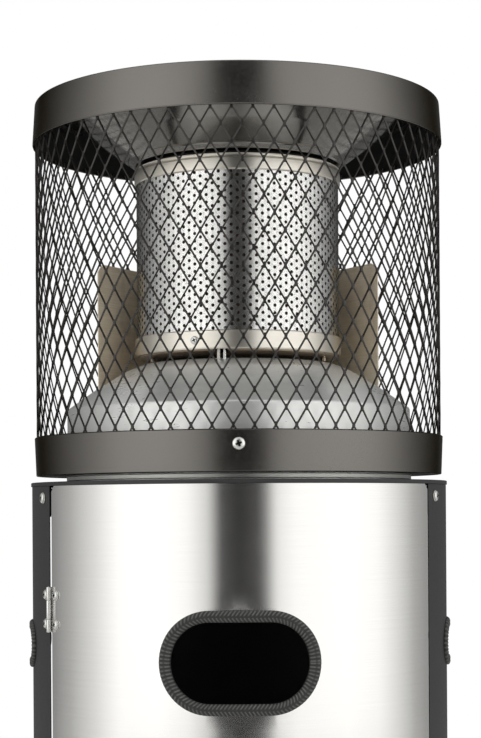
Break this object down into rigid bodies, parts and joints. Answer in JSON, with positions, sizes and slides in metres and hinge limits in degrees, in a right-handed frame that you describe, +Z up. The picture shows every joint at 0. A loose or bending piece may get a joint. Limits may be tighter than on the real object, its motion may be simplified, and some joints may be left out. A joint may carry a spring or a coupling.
{
  "type": "patio heater",
  "caption": "Column gas patio heater: a perforated emitter under a conical reflector inside a diamond-mesh guard, on a round cabinet with a hinged steel door.",
  "frame": {"origin": "on the floor, under the centre of the round column", "axes": "+Z up the column; the door faces -Y; +X is on the right of a person who looks at the door"},
  "size_m": [0.472, 0.472, 1.15],
  "materials": {
    "gunmetal_coat": "satin",
    "guard_coat": "satin",
    "black_coat": "fine texture",
    "door_steel": "fine horizontal brushing",
    "emitter_steel": "bright",
    "warm_steel": "lightly heat tinted",
    "tinted_steel": "heat tinted",
    "mirror_steel": "mirror polished",
    "dome_steel": "satin",
    "trim_rubber": "ribbed",
    "foot_rubber": "matt",
    "black_plastic": "fine grain",
    "zinc": "zinc plated",
    "brass": "machined",
    "ceramic": "glazed ceramic",
    "galvanised": "galvanised"
  },
  "bodies": {
    "root": {"top_cap": "gunmetal_coat", "reflector_cone": "mirror_steel", "guard_mesh": "guard_coat", "guard_lower_band": "gunmetal_coat", "guard_band_screw": "zinc", "guard_floor_ring": "gunmetal_coat", "neck_ring": "gunmetal_coat", "emitter_screen": "emitter_steel", "emitter_top_ring": "warm_steel", "emitter_bottom_ring": "warm_steel", "emitter_ring_screw": "zinc", "emitter_cap": "tinted_steel", "burner_tray": "tinted_steel", "burner_head": "tinted_steel", "mixing_tube": "galvanised", "gas_jet": "brass", "ignition_electrode": "ceramic", "thermocouple": "zinc", "wind_shield": "tinted_steel", "dome_heat_shield": "dome_steel", "deck": "black_coat", "body_shell": "black_coat", "left_grip_trim": "trim_rubber", "right_grip_trim": "trim_rubber", "left_corner_bracket": "black_coat", "right_corner_bracket": "black_coat", "left_shell_screw": "zinc", "right_shell_screw": "zinc", "upper_hinge_fixed_leaf": "zinc", "upper_hinge_pin": "zinc", "lower_hinge_fixed_leaf": "zinc", "lower_hinge_pin": "zinc", "magnet_catch": "black_plastic", "control_panel": "galvanised", "gas_valve": "brass", "igniter_body": "black_plastic", "gas_pipe": "brass", "hose_inlet_nipple": "brass", "tilt_switch": "black_plastic", "base_plate": "galvanised", "base_ring": "black_plastic", "front_left_foot": "foot_rubber", "front_right_foot": "foot_rubber", "rear_left_foot": "foot_rubber", "rear_right_foot": "foot_rubber", "left_wheel_bracket": "galvanised", "right_wheel_bracket": "galvanised", "wheel_axle": "zinc"},
    "door": {"door": "door_steel", "door_grip_trim": "trim_rubber", "upper_hinge_door_leaf": "zinc", "lower_hinge_door_leaf": "zinc", "strike_plate": "zinc"},
    "valve_plug": {"valve_plug": "brass"},
    "control_knob": {"valve_spindle": "zinc", "control_knob": "black_plastic"},
    "igniter_button": {"igniter_button": "black_plastic"},
    "left_wheel": {"left_wheel": "foot_rubber"},
    "right_wheel": {"right_wheel": "foot_rubber"}
  },
  "joints": [
    {"name": "door_hinge", "type": "hinge", "parent": "root", "child": "door", "pos_m": [-0.19936, -0.1151, 0.6042], "axis": [0, 0, -1], "range_deg": [0, 120]},
    {"name": "knob_turn", "type": "hinge", "parent": "root", "child": "valve_plug", "pos_m": [0, -0.153, 0.702], "axis": [0, -1, 0], "range_deg": [0, 210]},
    {"name": "knob_press", "type": "slide", "parent": "valve_plug", "child": "control_knob", "axis": [0, 1, 0], "range_m": [0, 0.003], "stiffness_N_per_m": 1500},
    {"name": "igniter_press", "type": "slide", "parent": "root", "child": "igniter_button", "axis": [0, 1, 0], "range_m": [0, 0.005], "stiffness_N_per_m": 1200},
    {"name": "left_wheel_spin", "type": "hinge", "parent": "root", "child": "left_wheel", "pos_m": [-0.095, 0.207, 0.03], "axis": [1, 0, 0], "continuous": true},
    {"name": "right_wheel_spin", "type": "hinge", "parent": "root", "child": "right_wheel", "pos_m": [0.095, 0.207, 0.03], "axis": [1, 0, 0], "continuous": true}
  ]
}
